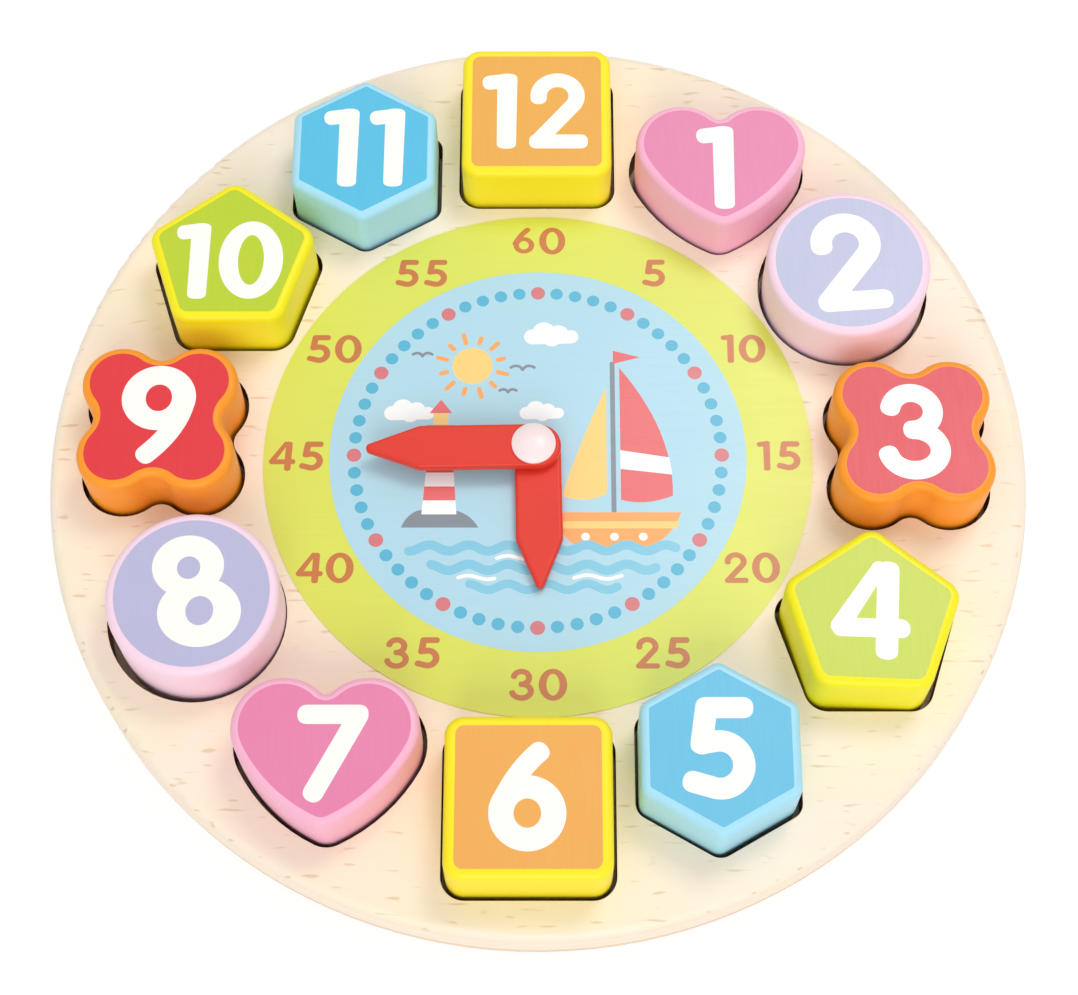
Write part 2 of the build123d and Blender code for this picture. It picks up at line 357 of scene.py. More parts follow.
def coating(name, colour_value, grain, sheen, relief, shine):
    """Paint or ink on fine-grained wood. The grain shows faintly in its colour, its sheen and its surface."""
    shader = Shader(name, IOR=1.46, Specular_IOR_Level=shine)
    place = shader.place()
    fibre = shader.noise(shader.stretch(place, grain), detail=3.0, roughness=0.55)
    pore_scale = tuple(PORES_TO_GRAIN * part for part in grain)
    pores = shader.noise(shader.stretch(place, pore_scale, shift=(0.31, 0.17, 0.05)), detail=1.0)
    clouding = shader.noise(place, scale=55.0)
    grain_shown = shader.band(fibre, 0.38, 0.68) * GRAIN_SHARE
    base = shader.mix(grain_shown, tint(colour_value, 1.02), deepen(colour_value, 1.12))
    base = shader.mix(shader.band(clouding, 0.35, 0.65) * CLOUDING_SHARE, base, deepen(colour_value, 1.05))
    base = shader.mix(shader.band(pores, 0.66, 0.78) * PORE_SHARE, base, deepen(colour_value, 1.4))
    shader.set(
        Base_Color=base,
        Roughness=sheen + fibre * 0.1 + clouding * 0.06,
        Normal=shader.bump(fibre + pores * 0.4, relief, 0.06 * MM),
    )
    return shader.material


def paint(name, colour_value, grain=GRAIN_Y):
    return coating(name, colour_value, grain, sheen=0.32, relief=0.14, shine=0.36)


def ink(name, colour_value):
    return coating(name, colour_value, GRAIN_Y, sheen=0.28, relief=0.12, shine=0.5)


def dial_ink(name, colour_value):
    """The dial's ink is varnished, so it is shinier than the blocks' ink"""
    return coating(name, colour_value, GRAIN_X, sheen=0.26, relief=0.12, shine=1.0)


# How far the growth bands waver, in metres, and their cycles for each metre along and across
WAVER = 0.012
BAND_SCALE = (5.0, 130.0)
# Sides further in than this from the outer edge are the walls of pockets, in metres
EDGE_SKIN = (0.0015, 0.0025)


def bare_wood(name, colours, pale, edge_radius, ply_thickness):
    """Pale sanded plywood: face veneer with growth bands and short flecks, plies on its edge, dark brown pocket walls.
    """
    shader = Shader(name, IOR=1.45, Specular_IOR_Level=0.5)
    place = shader.place()
    waver = shader.noise(shader.stretch(place, (9.0, 30.0, 30.0)))
    across = shader.axis(place, "Y") + waver * WAVER
    band_place = {"X": shader.axis(place, "X") * BAND_SCALE[0], "Y": across * BAND_SCALE[1]}
    bands = shader.noise(shader.node("ShaderNodeCombineXYZ", inputs=band_place), detail=4.0, roughness=0.6)
    fibre = shader.noise(shader.stretch(place, (70.0, 2400.0, 1200.0)), detail=3.0, roughness=0.6)
    fleck_field = shader.noise(shader.stretch(place, (170.0, 850.0, 900.0), shift=(0.4, 0.2, 0.1)), detail=0.0)
    fleck_area = shader.noise(place, detail=1.0, scale=34.0)
    flecks = shader.band(fleck_field + fleck_area * 0.16, 0.79, 0.9)
    patches = shader.noise(shader.stretch(place, (22.0, 60.0, 30.0), shift=(3.0, 1.0, 0.0)))
    veneer = shader.mix(shader.band(patches, 0.35, 0.65), pale, shade(pale, 0.985, 1.0, 0.93))
    veneer = shader.mix(shader.band(bands, 0.36, 0.7) * 0.45, veneer, deepen(pale, 1.3))
    veneer = shader.mix(shader.band(fibre, 0.42, 0.72) * 0.13, veneer, deepen(pale, 1.4))
    veneer = shader.mix(flecks * 0.66, veneer, colours.fleck)

    # The edge shows the plies: long grain and end grain in turn, with thin dark glue lines.
    ply = shader.axis(place, "Z") / ply_thickness
    ply_number = ply.math("FLOOR", ply)
    inside_ply = ply - ply_number
    end_grain = shader.noise(shader.stretch(place, (1500.0, 1500.0, 500.0)))
    glue = shader.band(abs(inside_ply - 0.5), 0.44, 0.49)
    turn = shader.band(ply.math("MODULO", ply_number, 2.0), 0.4, 0.6)
    side = shader.mix(turn * 0.5 + end_grain * 0.3, pale, deepen(pale, 1.5))
    side = shader.mix(glue * 0.35, side, colours.fleck)

    on_side = 1.0 - shader.band(abs(shader.normal_up()), 0.25, 0.6)
    in_pocket = shader.band(shader.radius(place), *(edge_radius - depth for depth in EDGE_SKIN))
    base = shader.mix(on_side, veneer, side)
    # The walls of the pockets are painted dark brown, streaked lighter and darker along the end grain and the plies.
    pocket_wall_colour = shader.mix(shader.band(end_grain + inside_ply * 0.3, 0.3, 0.9), colours.scorch, tint(colours.scorch, 2.0))
    base = shader.mix(on_side * in_pocket, base, pocket_wall_colour)
    shader.set(
        Base_Color=base,
        Roughness=0.34 + fibre * 0.16 - flecks * 0.08,
        Normal=shader.bump(fibre * 0.8 - flecks * 0.9 + bands * 0.4, 0.22, 0.1 * MM),
    )
    return shader.material


def smooth_plastic(name, colour_value, gloss):
    """Moulded plastic with fine scuffs. gloss is its roughness between them."""
    shader = Shader(name, IOR=1.49)
    place = shader.place()
    mottle = shader.noise(place, detail=3.0, roughness=0.6, scale=420.0)
    scuffs = shader.noise(shader.stretch(place, (2600.0, 700.0, 900.0)), roughness=0.7)
    base = shader.mix(shader.band(mottle, 0.3, 0.7) * 0.4, tint(colour_value, 1.01), deepen(colour_value, 1.15))
    shader.set(
        Base_Color=base,
        Roughness=gloss + scuffs * 0.12,
        Normal=shader.bump(mottle + scuffs * 0.3, 0.08, 0.05 * MM),
    )
    return shader.material


def plated_steel(name, colour_value):
    """Turned and plated: fine rings round the screw's axis"""
    shader = Shader(name, Metallic=1.0)
    place = shader.place()
    rings = shader.noise(shader.node("ShaderNodeCombineXYZ", inputs={"X": shader.radius(place) * 9000.0}))
    clouding = shader.noise(place, detail=3.0, roughness=0.6, scale=600.0)
    base = shader.mix(shader.band(clouding, 0.3, 0.7) * 0.6, tint(colour_value, 1.04), tint(colour_value, 0.8))
    shader.set(
        Base_Color=base,
        Roughness=0.26 + rings * 0.14 + clouding * 0.08,
        Normal=shader.bump(rings, 0.15, 0.03 * MM),
    )
    return shader.material


# Flat shapes, as lists of polygons in millimetres

# The longest step along an arc, in degrees, and the steps round a rounded pen's end
ARC_STEP = 6.0
PEN_STEPS = 16
# Points nearer together than this count as one
TOUCH = 1e-6
# How far a line's corner may reach out: the least cosine that its reach is divided by
SHARPEST_STROKE = 0.5
SHARPEST_INSET = 0.4
# Shorter sides than this are left out of an outline that is moved inwards, in millimetres
SHORTEST_SIDE = 0.02


def arc(centre, radii, start, end):
    """Points along part of an ellipse, its angles in degrees from +X, either way round"""
    steps = max(2, math.ceil(abs(end - start) / ARC_STEP))
    turns = [math.radians(start + (end - start) * step / steps) for step in range(steps + 1)]
    return [(centre[0] + radii[0] * math.cos(t), centre[1] + radii[1] * math.sin(t)) for t in turns]


def bend(start, pull, end, steps=12):
    """Points along a curve from start to end that leans towards pull"""
    shares = [step / steps for step in range(steps + 1)]
    return [
        tuple(a * (1 - t) ** 2 + 2 * b * t * (1 - t) + c * t * t for a, b, c in zip(start, pull, end))
        for t in shares
    ]


def disc(centre, radius, sides=60):
    return [[(centre[0] + radius * math.cos(t), centre[1] + radius * math.sin(t)) for t in turns(sides)]]


def turns(count):
    return [2 * math.pi * step / count for step in range(count)]


def ring(centre, outer, inner, hole=None, sides=72):
    """An ellipse with an elliptical hole, as a fan of four-cornered pieces. hole is the hole's middle."""
    hole = hole or centre
    edge = [
        (
            (centre[0] + outer[0] * math.cos(t), centre[1] + outer[1] * math.sin(t)),
            (hole[0] + inner[0] * math.cos(t), hole[1] + inner[1] * math.sin(t)),
        )
        for t in turns(sides)
    ]
    return [[edge[i - 1][0], edge[i][0], edge[i][1], edge[i - 1][1]] for i in range(sides)]


def stroke(points, half, tip=0.95, square=0.9, taper=1.0):
    """A line drawn with a broad pen. tip and square shape its ends, taper is its end's width as a share."""
    line = [Vector(point) for point in points]
    line = [line[0]] + [b for a, b in zip(line, line[1:]) if (b - a).length > TOUCH]
    heads = [(b - a).normalized() for a, b in zip(line, line[1:])]
    sides = []
    for index, point in enumerate(line):
        before = heads[max(index - 1, 0)]
        after = heads[min(index, len(heads) - 1)]
        along = (before + after).normalized()
        across = Vector((-along.y, along.x))
        pen = half * (1 + (taper - 1) * index / (len(line) - 1))
        reach = pen / max(SHARPEST_STROKE, across.dot(Vector((-before.y, before.x))))
        sides.append((point + across * reach, point - across * reach))
    polygons = [[tuple(a[0]), tuple(b[0]), tuple(b[1]), tuple(a[1])] for a, b in zip(sides, sides[1:])]
    for point, head, pen in ((line[0], -heads[0], half), (line[-1], heads[-1], half * taper)):
        across = Vector((-head.y, head.x))
        cap = []
        for step in range(PEN_STEPS + 1):
            t = math.pi * step / PEN_STEPS
            wide = math.copysign(abs(math.cos(t)) ** square, math.cos(t))
            cap.append(tuple(point + across * (pen * wide) + head * (pen * tip * math.sin(t) ** square)))
        polygons.append(cap)
    return polygons


def moved(polygons, place=(0, 0), turn=0.0, scale=(1, 1)):
    """The same polygons, scaled, turned clockwise by an angle in degrees, and put somewhere else"""
    c, s = math.cos(math.radians(-turn)), math.sin(math.radians(-turn))
    return [
        [
            (place[0] + c * x * scale[0] - s * y * scale[1], place[1] + s * x * scale[0] + c * y * scale[1])
            for x, y in polygon
        ]
        for polygon in polygons
    ]


# Numerals: rounded, heavy figures, each drawn in millimetres about its own middle


def figure_0(weight):
    side, end = 2.2 * weight, 1.8 * weight
    return ring((0, 0), (5.15 + side, 8.3 + end), (5.15 - side, 8.3 - end))


def figure_1(weight):
    stem = stroke([(0.1, 9.7), (-0.05, -9.7)], 2.45 * weight, 0.64, 0.8, 0.95)
    return stem + stroke([(0.0, 9.15), (-4.15, 8.6)], 2.05 * weight, 0.98, 0.85)


def figure_2(weight):
    hook = stroke(arc((0.15, 5.2), (5.6, 5.5), 186, -33) + [(-5.6, -10.3)], 2.4 * weight)
    return hook + stroke([(-5.8, -10.5), (6.55, -10.5)], 2.4 * weight, 1.0, 0.8)


def figure_broad_2(weight):
    hook = stroke(arc((-1.0, 5.05), (5.6, 5.4), 188, -36) + [(-5.5, -10.3)], 2.5 * weight)
    return hook + stroke([(-5.5, -10.45), (6.7, -9.5)], 2.45 * weight, 1.0, 0.85)


def figure_3(weight):
    pen = 2.2 * weight
    upper = stroke(arc((-0.4, 4.85), (4.7, 4.5), 167, -90), pen)
    return upper + stroke(arc((-0.35, -4.55), (5.75, 4.85), 90, -167), pen)


def figure_4(weight):
    stem = stroke([(4.05, 9.0), (3.4, -9.2)], 2.4 * weight, 0.9, 0.85)
    slope = stroke([(2.0, 9.5), (-6.45, -4.0)], 1.6 * weight, 1.0, 0.9, 1.25)
    bar = stroke([(-6.1, -4.3), (6.4, -4.2)], 2.15 * weight, 1.0, 0.9)
    return stem + slope + bar


def figure_5(weight):
    pen = 2.3 * weight
    bowl = [(-3.7, 0.95), (-2.6, 1.2)] + arc((-0.1, -3.55), (5.0, 5.1), 104, -112) + [(-5.7, -7.2)]
    bar = stroke([(-2.4, 8.75), (4.9, 8.75)], pen, 1.0, 0.85)
    return bar + stroke([(-2.6, 8.7), (-3.75, 1.0)], pen, 1.0, 0.85) + stroke(bowl, pen)


def figure_6(weight):
    bowl = ring((0, -3.6), (8.05 * weight, 8.05 * weight), (2.85 / weight, 3.1 / weight))
    return bowl + stroke(bend((2.4, 9.45), (-2.5, 5.2), (-5.75, -2.3)), 2.2 * weight)


def figure_7(weight):
    bar = stroke([(-5.3, 8.45), (5.4, 8.45)], 2.12 * weight, 1.0, 0.85)
    return bar + stroke([(5.3, 8.0), (-3.35, -8.4)], 2.15 * weight, 1.0, 0.9)


def figure_8(weight):
    upper = ring((-2.05, 5.65), (7.7 * weight, 7.1 * weight), (2.5 / weight, 2.6 / weight), (-1.9, 5.3))
    return upper + ring((0.95, -4.85), (8.9 * weight, 7.85 * weight), (2.95 / weight, 3.3 / weight), (1.0, -4.5))


def figure_9(weight):
    bowl = ring((0, 4.1), (8.3 * weight, 8.0 * weight), (2.95 / weight, 3.3 / weight))
    return bowl + stroke(bend((6.0, 4.1), (5.2, -3.3), (-1.95, -9.8)), 2.3 * weight)


# Each figure's drawing, and the height it is drawn at
FIGURES = {
    "0": (figure_0, 20.2),
    "1": (figure_1, 22.4),
    "2": (figure_2, 25.9),
    "broad 2": (figure_broad_2, 25.9),
    "3": (figure_3, 23.1),
    "4": (figure_4, 22.5),
    "5": (figure_5, 22.1),
    "6": (figure_6, 23.3),
    "7": (figure_7, 21.1),
    "8": (figure_8, 25.5),
    "9": (figure_9, 24.2),
}

# What each block says: figure, place of its middle from the block's own middle, height and weight.
# Places and heights are in millimetres.
LABELS = {
    1: (("1", 0.4, -1.25, 22.3, 1.0),),
    2: (("broad 2", 0.4, -0.25, 25.6, 1.0),),
    3: (("3", -0.1, -0.45, 23.1, 1.0),),
    4: (("4", -0.8, -0.4, 22.2, 1.0),),
    5: (("5", -0.25, -0.2, 22.1, 1.0),),
    6: (("6", -0.2, 0.0, 23.1, 1.0),),
    7: (("7", 1.65, -0.75, 20.9, 1.0),),
    8: (("8", 0.95, 0.4, 25.5, 1.0),),
    9: (("9", 0.2, 0.4, 23.9, 1.0),),
    10: (("1", -7.1, -2.85, 19.5, 1.05), ("0", 4.7, -2.6, 20.1, 1.0)),
    11: (("1", -3.7, 0.15, 21.2, 1.0), ("1", 7.0, 0.15, 21.2, 1.0)),
    12: (("1", -7.0, -0.1, 20.6, 1.05), ("2", 4.8, -0.1, 20.7, 1.0)),
}

# Block 4 sits turned in its pocket, and its numeral with it. In degrees, clockwise.
LOOSE_TURN = {4: 2.5}

# One minute number is printed further out than the others, in millimetres.
NUMBER_NUDGE = {60: 1.4}

# Where the two figures of a minute number stand, as shares of their height: if the first is a 1, or is not
SHIFTS_WITH_1 = (-0.36, 0.31)
SHIFTS = (-0.45, 0.45)
ZERO_WIDTH = 1.08

# Bare dial left round the washer under the hands, in millimetres
WASHER_GAP = 0.1


def figure(character, place, height, weight=1.0, width=1.0):
    draw, drawn_height = FIGURES[character]
    size = height / drawn_height
    return moved(draw(weight), place, scale=(size * width, size))


# Printed layers


def printed_layer(name, layers, top, root, holes=()):
    """A thin printed sheet that lies on something.

    layers is a list of (material, polygons), from the lowest ink to the topmost, in millimetres. The sheet is
    cut along every outline and each piece of it takes the topmost ink. It is closed all round. holes are
    polygons that stay open.
    """
    corners, faces, ink_of = [], [], []
    for index, polygons in enumerate([*[shapes for _, shapes in layers], list(holes)]):
        for polygon in map(anticlockwise, polygons):
            faces.append(list(range(len(corners), len(corners) + len(polygon))))
            corners.extend(Vector(point) for point in polygon)
            ink_of.append(index)
    points, _, triangles, _, _, origins = delaunay_2d_cdt(corners, [], faces, 1, 1e-5)
    mesh = bpy.data.meshes.new(name)
    build = bmesh.new()
    upper = [build.verts.new((x * MM, y * MM, top)) for x, y in points]
    lower = [build.verts.new((x * MM, y * MM, root)) for x, y in points]
    hole_index = len(layers)
    edge_use = {}
    for triangle, origin in zip(triangles, origins):
        inks = {ink_of[face] for face in origin}
        if not inks or hole_index in inks:
            continue
        face = build.faces.new([upper[corner] for corner in triangle])
        face.material_index = max(inks)
        under = build.faces.new([lower[corner] for corner in reversed(triangle)])
        under.material_index = max(inks)
        for a, b in zip(triangle, triangle[1:] + triangle[:1]):
            edge_use.setdefault(frozenset((a, b)), []).append((a, b, max(inks)))
    for uses in edge_use.values():
        if len(uses) == 1:
            a, b, ink_index = uses[0]
            wall = build.faces.new([upper[b], upper[a], lower[a], lower[b]])
            wall.material_index = ink_index
    bmesh.ops.delete(build, geom=[v for v in build.verts if not v.link_faces], context="VERTS")
    bmesh.ops.recalc_face_normals(build, faces=build.faces)
    build.to_mesh(mesh)
    build.free()
    for material, _ in layers:
        mesh.materials.append(material)
    piece = bpy.data.objects.new(name, mesh)
    bpy.context.scene.collection.objects.link(piece)
    return piece


def anticlockwise(polygon):
    area = sum(a[0] * b[1] - b[0] * a[1] for a, b in zip(polygon, polygon[1:] + polygon[:1]))
    return polygon if area > 0 else polygon[::-1]


def flat_top_outline(node):
    """The outline of a solid's flat top, in order, in millimetres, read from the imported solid"""
    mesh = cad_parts[node].data
    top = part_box(node)[1].z
    uses = {}
    for face in mesh.polygons:
        points = [mesh.vertices[corner].co for corner in face.vertices]
        if all(abs(point.z - top) < TOUCH for point in points):
            keys = [(round(point.x, 8), round(point.y, 8)) for point in points]
            for a, b in zip(keys, keys[1:] + keys[:1]):
                uses[(a, b)] = True
    follow = {a: b for a, b in uses if (b, a) not in uses}
    start = next(iter(follow))
    outline, at = [start], follow[start]
    while at != start:
        outline.append(at)
        at = follow[at]
    return [(x / MM, y / MM) for x, y in outline]


def inset(outline, amount):
    """The outline moved inwards, for one that runs anticlockwise"""
    line = [Vector(point) for point in outline]
    kept = [b for a, b in zip([line[-1]] + line, line) if (b - a).length > SHORTEST_SIDE]
    result = []
    for index, point in enumerate(kept):
        before = (point - kept[index - 1]).normalized()
        after = (kept[(index + 1) % len(kept)] - point).normalized()
        along = (before + after).normalized()
        inward = Vector((-along.y, along.x))
        reach = amount / max(SHARPEST_INSET, inward.dot(Vector((-before.y, before.x))))
        result.append(tuple(point + inward * reach))
    return result


def middle(points):
    xs, ys = [x for x, _ in points], [y for _, y in points]
    return ((min(xs) + max(xs)) / 2, (min(ys) + max(ys)) / 2)


def show(piece, body):
    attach(piece, body)
    return piece


def finish_node(node, material):
    """Gives a solid part its finish"""
    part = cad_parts.get(node)
    if part is None:
        raise RuntimeError(f"the packed clock has no part named {node}")
    part.data.materials.clear()
    part.data.materials.append(material)


def on_dial(minute, radius):
    """A place on the dial, clockwise from 12, in millimetres"""
    turn = math.radians(6 * minute)
    return (radius * math.sin(turn), radius * math.cos(turn))


# The dial's picture: a sailing boat off a lighthouse


def put(parts, place):
    """Named shapes, moved to their place on the dial"""
    return {name: moved(shapes, place) for name, shapes in parts.items()}


def cloud(place, width):
    puffs = ((-0.34, 0.0, 0.15), (-0.14, 0.09, 0.2), (0.12, 0.06, 0.17), (0.34, 0.0, 0.13), (0.0, -0.02, 0.17))
    shapes = []
    for x, y, radius in puffs:
        shapes += disc((place[0] + x * width, place[1] + y * width), radius * width, 36)
    base = [(-0.36, -0.15), (0.36, -0.13), (0.36, 0.0), (-0.36, 0.0)]
    shapes += moved([base], place, scale=(width, width))
    return shapes


def gull(place, span):
    half = span / 2
    wing = bend((0, 0), (0.35 * half, 0.62 * half), (half, 0.22 * half), 8)
    left = [(-x, y) for x, y in wing]
    return moved(stroke(wing, 0.34) + stroke(left, 0.34), place)


# The length of a wave's steps in millimetres, and how fast it rolls, in radians for each millimetre
WAVE_STEP = 0.8
WAVE_ROLL = 0.72


def wave(left, right, height, rise, half):
    """A ribbon of water that rolls a little"""
    steps = max(8, int((right - left) / WAVE_STEP))
    along = [left + (right - left) * step / steps for step in range(steps + 1)]
    return stroke([(x, height + rise * math.sin(x * WAVE_ROLL)) for x in along], half, 0.95, 1.0)


def sun(place, radius):
    rays = []
    for index in range(12):
        turn = math.radians(30 * index + 15)
        ends = radius * 1.32, radius * (1.78 if index % 2 else 1.6)
        rays += stroke([(place[0] + out * math.cos(turn), place[1] + out * math.sin(turn)) for out in ends], 0.55)
    return disc(place, radius), rays


def boat(place):
    """Hull, deck stripe, mast and two sails, drawn about the mast's foot"""
    hull = (
        [(-13.5, 0.0), (15.0, 0.0)]
        + bend((15.0, 0.0), (12.5, -7.0), (7.0, -8.2), 10)[1:]
        + bend((-8.2, -8.2), (-12.0, -6.4), (-13.5, 0.0), 10)[:-1]
    )
    stripe = [(-12.9, -2.2), (14.4, -2.2), (13.9, -3.9), (-12.5, -3.9)]
    mainsail = bend((1.6, 36.0), (13.8, 20.0), (13.2, 4.0), 14) + bend((13.2, 4.0), (7.0, 1.4), (1.6, 3.0), 8)[1:]
    jib = bend((-1.5, 31.0), (-8.0, 16.0), (-11.6, 4.0), 14) + bend((-11.6, 4.0), (-6.0, 1.8), (-1.5, 4.6), 8)[1:]
    band = [(1.6, 15.2), (12.6, 13.4), (13.15, 9.2), (1.6, 10.6)]
    mast = stroke([(0, 0), (0, 37.0)], 0.55)
    pennant = [(0.2, 40.4), (6.4, 38.7), (0.2, 37.0)]
    ports = []
    for x in (-6.4, 0.0, 6.4):
        ports += disc((x, -5.9), 0.95, 24)
    parts = {
        "hull": [hull],
        "stripe": [stripe],
        "mainsail": [mainsail],
        "jib": [jib],
        "band": [band],
        "mast": mast,
        "pennant": [pennant],
        "ports": ports,
    }
    return put(parts, place)


def lighthouse(place):
    """A striped tower on a rock, drawn about the middle of its foot"""

    def storey(low, high):
        near, far = (3.9 - 0.075 * height for height in (low, high))
        return [(-near, low), (near, low), (far, high), (-far, high)]

    tower = storey(0, 21)
    stripes = [storey(low, low + 3.4) for low in (3.4, 10.2, 17.0)]
    gallery = stroke([(-3.0, 21.4), (3.0, 21.4)], 0.6)
    lamp = [(-1.7, 21.6), (1.7, 21.6), (1.7, 25.0), (-1.7, 25.0)]
    roof = [(-2.6, 25.0), (2.6, 25.0), (0.0, 28.4)]
    rock = bend((-8.4, -3.2), (-6.6, 1.6), (-2.0, 1.2), 8) + bend((2.4, 1.2), (6.8, 0.6), (8.8, -3.2), 8)
    parts = {
        "tower": [tower],
        "stripes": stripes,
        "gallery": gallery,
        "lamp": [lamp],
        "roof": [roof],
        "rock": [rock],
    }
    return put(parts, place)


def dial_picture(inks):
    """The layers of the picture, lowest first"""
    ship = boat((17.0, -14.0))
    tower = lighthouse((-22.0, -14.5))
    sun_face, sun_rays = sun((-15.0, 22.5), 4.6)
    clouds = cloud((3.2, 30.0), 13.0) + cloud((-29.0, 10.5), 12.0) + cloud((1.0, 10.5), 10.5)
    swell, ripple = 0.75, 0.45
    water = wave(-28.5, 30.5, -22.6, swell, 1.1) + wave(-23.5, 26.0, -27.2, swell, 1.1)
    water += wave(-15.0, 17.5, -31.8, swell, 1.0)
    foam = wave(-9.0, 2.5, -24.9, ripple, 0.42) + wave(8.0, 18.5, -29.5, ripple, 0.42)
    foam += wave(-17.5, -9.5, -29.6, ripple, 0.42)
    gulls = gull((-3.5, 21.5), 5.4) + gull((-26.5, 25.0), 4.4) + gull((-6.8, 15.8), 3.8)
    return [
        (inks["honey"], sun_face),
        (inks["orange"], sun_rays),
        (inks["cloud"], clouds),
        (inks["slate"], tower["rock"] + gulls),
        (inks["cloud"], tower["tower"]),
        (inks["coral"], tower["stripes"] + tower["roof"]),
        (inks["honey"], tower["lamp"]),
        (inks["slate"], tower["gallery"] + ship["mast"]),
        (inks["coral"], ship["mainsail"] + ship["pennant"]),
        (inks["cloud"], ship["band"]),
        (inks["honey"], ship["jib"]),
        (inks["orange"], ship["hull"]),
        (inks["honey"], ship["stripe"]),
        (inks["cloud"], ship["ports"]),
        (inks["wave"], water),
        (inks["cloud"], foam),
    ]


# Operators


class CLOCK_OT_board(bpy.types.Operator):
    """Gives the face board and the backing plate their wood"""

    bl_idname = "clock_toy.board"
    bl_label = "Board"

    def execute(self, context):
        colours = context.scene.clock_colours
        beech = bare_wood("sanded_beech", colours, colours.beech, BOARD_RADIUS, ply_thickness=1.6 * MM)
        finish_node("face_board", beech)
        # No wall of the backing plate is painted dark brown, so its edge counts as being at the middle.
        backing = bare_wood("bare_plywood", colours, colours.backing, 0.0, ply_thickness=MM)
        finish_node("backing_plate", backing)
        return {"FINISHED"}


class CLOCK_OT_dial(bpy.types.Operator):
    """Prints the dial: lime ring, minute numbers, sky, dots and picture"""

    bl_idname = "clock_toy.dial"
    bl_label = "Dial print"

    def execute(self, context):
        sizes, colours = context.scene.clock_sizes, context.scene.clock_colours
        finish_node("dial_print", dial_ink("lime_ink", colours.lime))
        top, root = DIAL_TOP + sizes.ink, DIAL_TOP - sizes.ink_root
        number_ink = dial_ink("minute_number_ink", colours.minute_number)
        for minute in range(5, 65, 5):
            self.print_number(minute, sizes, number_ink, top, root)
        names = ("sky", "hour_dot", "minute_dot", "coral", "orange", "honey", "cloud", "slate", "wave")
        inks = {name: dial_ink(f"{name}_ink", getattr(colours, name)) for name in names}
        ring_radius = sizes.dot_ring_radius / MM
        hour_dots, minute_dots = [], []
        for minute in range(60):
            place = on_dial(minute, ring_radius)
            if minute % 5 == 0:
                hour_dots += disc(place, sizes.hour_dot / MM, 32)
            else:
                minute_dots += disc(place, sizes.minute_dot / MM, 28)
        layers = [(inks["sky"], disc((0, 0), sizes.sky_radius / MM, 180)), *dial_picture(inks)]
        layers += [(inks["hour_dot"], hour_dots), (inks["minute_dot"], minute_dots)]
        washer_room = disc((0, 0), WASHER_RADIUS / MM + WASHER_GAP, 48)
        show(printed_layer("dial_picture", layers, top, root, washer_room), BOARD_BODY)
        return {"FINISHED"}

    @staticmethod
    def print_number(minute, sizes, material, top, root):
        height = sizes.minute_number_height / MM
        text = str(minute)
        shapes = []
        for index, character in enumerate(text):
            if len(text) == 1:
                shift = 0.0
            else:
                shift = (SHIFTS_WITH_1 if text[0] == "1" else SHIFTS)[index] * height
            wide = sizes.minute_number_width * (ZERO_WIDTH if character == "0" else 1.0)
            shapes += figure(character, (shift, 0), height, sizes.minute_number_weight, wide)
        out = sizes.minute_number_radius / MM + NUMBER_NUDGE.get(minute, 0.0)
        place_x, place_y = on_dial(minute, out)
        shapes = moved(shapes, (place_x, place_y - sizes.minute_number_drop / MM))
        piece = printed_layer(f"minute_number_{minute:02d}", [(material, shapes)], top, root)
        show(piece, BOARD_BODY)


class CLOCK_OT_blocks(bpy.types.Operator):
    """Paints the twelve blocks and prints a panel and a numeral on each"""

    bl_idname = "clock_toy.blocks"
    bl_label = "Number blocks"

    def execute(self, context):
        sizes, colours = context.scene.clock_sizes, context.scene.clock_colours
        paints = {}
        numeral_ink = ink("numeral_ink", colours.numeral)
        for hour in HOURS:
            node = BLOCK_NODES[hour]
            shape = node.split("_")[2]
            if shape not in paints:
                paints[shape] = paint(f"{shape}_paint", getattr(colours, shape))
            finish_node(node, paints[shape])
            # The panel colours hold painted shade from the light's fall across the dial as well as the print's ink.
            panel_ink = ink(f"panel_{hour:02d}_ink", getattr(colours, f"panel_{hour}"))
            panel = inset(flat_top_outline(node), getattr(sizes, f"{shape}_border") / MM)
            place = middle(panel)
            numeral = []
            for character, x, y, height, weight in LABELS[hour]:
                numeral += figure(character, (x, y), height, weight)
            numeral = moved(numeral, place, LOOSE_TURN.get(hour, 0.0))
            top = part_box(node)[1].z
            piece = printed_layer(
                f"panel_{hour:02d}",
                [(panel_ink, [panel]), (numeral_ink, numeral)],
                top + sizes.ink,
                top - sizes.ink_root,
            )
            show(piece, f"block_{hour:02d}")
        return {"FINISHED"}


class CLOCK_OT_hands(bpy.types.Operator):
    """Paints both hands"""

    bl_idname = "clock_toy.hands"
    bl_label = "Hands"

    def execute(self, context):
        red = paint("hand_paint", context.scene.clock_colours.hand, GRAIN_X)
        finish_node("hour_hand", red)
        finish_node("minute_hand", red)
        return {"FINISHED"}


class CLOCK_OT_pivot(bpy.types.Operator):
    """Finishes the cap, the washers and the screw"""

    bl_idname = "clock_toy.pivot"
    bl_label = "Pivot"

    def execute(self, context):
        colours = context.scene.clock_colours
        finish_node("pivot_cap", smooth_plastic("cap_plastic", colours.cap, 0.24))
        nylon = smooth_plastic("washer_nylon", colours.washer, 0.42)
        finish_node("lower_washer", nylon)
        finish_node("upper_washer", nylon)
        finish_node("pivot_screw", plated_steel("plated_steel", colours.steel))
        return {"FINISHED"}


# Each softbox's place and width, in metres
SOFTBOXES = {
    "overhead": (Vector((-0.1, 0.3, 1.1)), 1.1),
    "right": (Vector((0.4, 0.52, 1.12)), 0.45),
    "front": (Vector((0.0, -2.8, 2.15)), 2.1),
}
FLOOR_HALF = 1.6
# The floor lies a hair lower than the clock's back, so that the two don't flicker
FLOOR_GAP = 0.2 * MM
# A little over plain white, so that it shows as plain white
FLOOR_WHITE = 1.03


